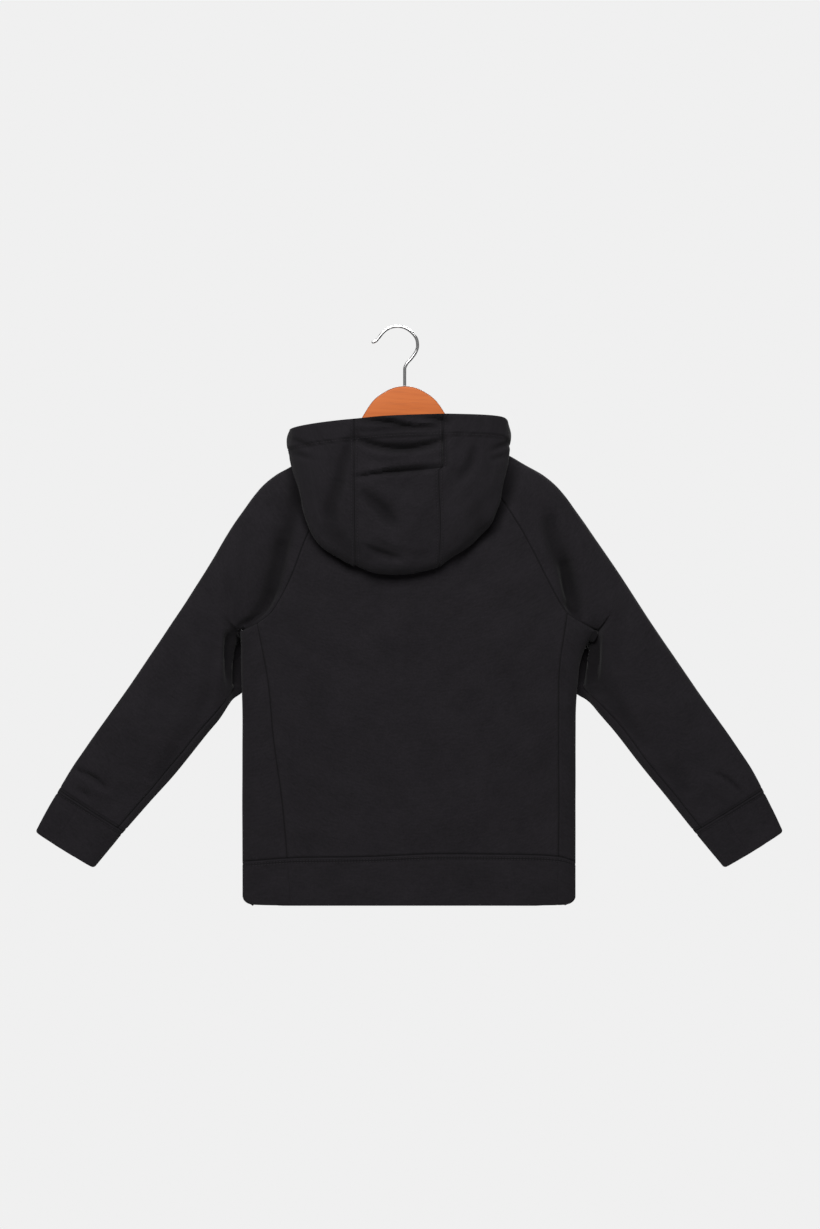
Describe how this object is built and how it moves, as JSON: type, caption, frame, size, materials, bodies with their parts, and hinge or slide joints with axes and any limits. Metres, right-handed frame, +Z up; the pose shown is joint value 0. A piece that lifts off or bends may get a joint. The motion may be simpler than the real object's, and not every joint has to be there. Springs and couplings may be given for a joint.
{
  "type": "zip-up hooded sweatshirt on a wooden hanger",
  "caption": "Child's dark fleece zip-up sweatshirt with raglan sleeves and a hood that hangs down the back, on a wooden hanger with a wire hook.",
  "frame": {"origin": "inner top of the hanger's hook, where it hangs", "axes": "+X to the wearer's left and along the spread sleeves, +Y out of the garment's back, +Z up"},
  "size_m": [0.8964, 0.0893, 0.6962],
  "materials": {
    "fleece": "matt brushed fleece, near black",
    "zip_tape": "woven tape, black",
    "zip_metal": "dark plated, satin",
    "varnished_wood": "orange-brown, satin varnish",
    "chrome": "bright plated wire"
  },
  "bodies": {
    "garment": {"back": "fleece", "side_left": "fleece", "side_right": "fleece", "front_left": "fleece", "front_right": "fleece", "sleeve_left": "fleece", "sleeve_right": "fleece", "cuff_left": "fleece", "cuff_right": "fleece", "band_back": "fleece", "band_side_left": "fleece", "band_side_right": "fleece", "band_front_left": "fleece", "band_front_right": "fleece", "hood_left": "fleece", "hood_centre": "fleece", "hood_right": "fleece", "zip_tape_left": "zip_tape", "zip_tape_right": "zip_tape", "zip_teeth": "zip_metal", "zip_slider": "zip_metal", "hanger_wood": "varnished_wood", "hanger_hook": "chrome"},
    "pull_tab": {"zip_pull_tab": "zip_metal"}
  },
  "joints": [
    {"name": "pull_tab_swing", "type": "hinge", "parent": "garment", "child": "pull_tab", "pos_m": [-0.0138, -0.02323, -0.214], "axis": [-1, 0, 0], "range_deg": [0, 150]}
  ]
}
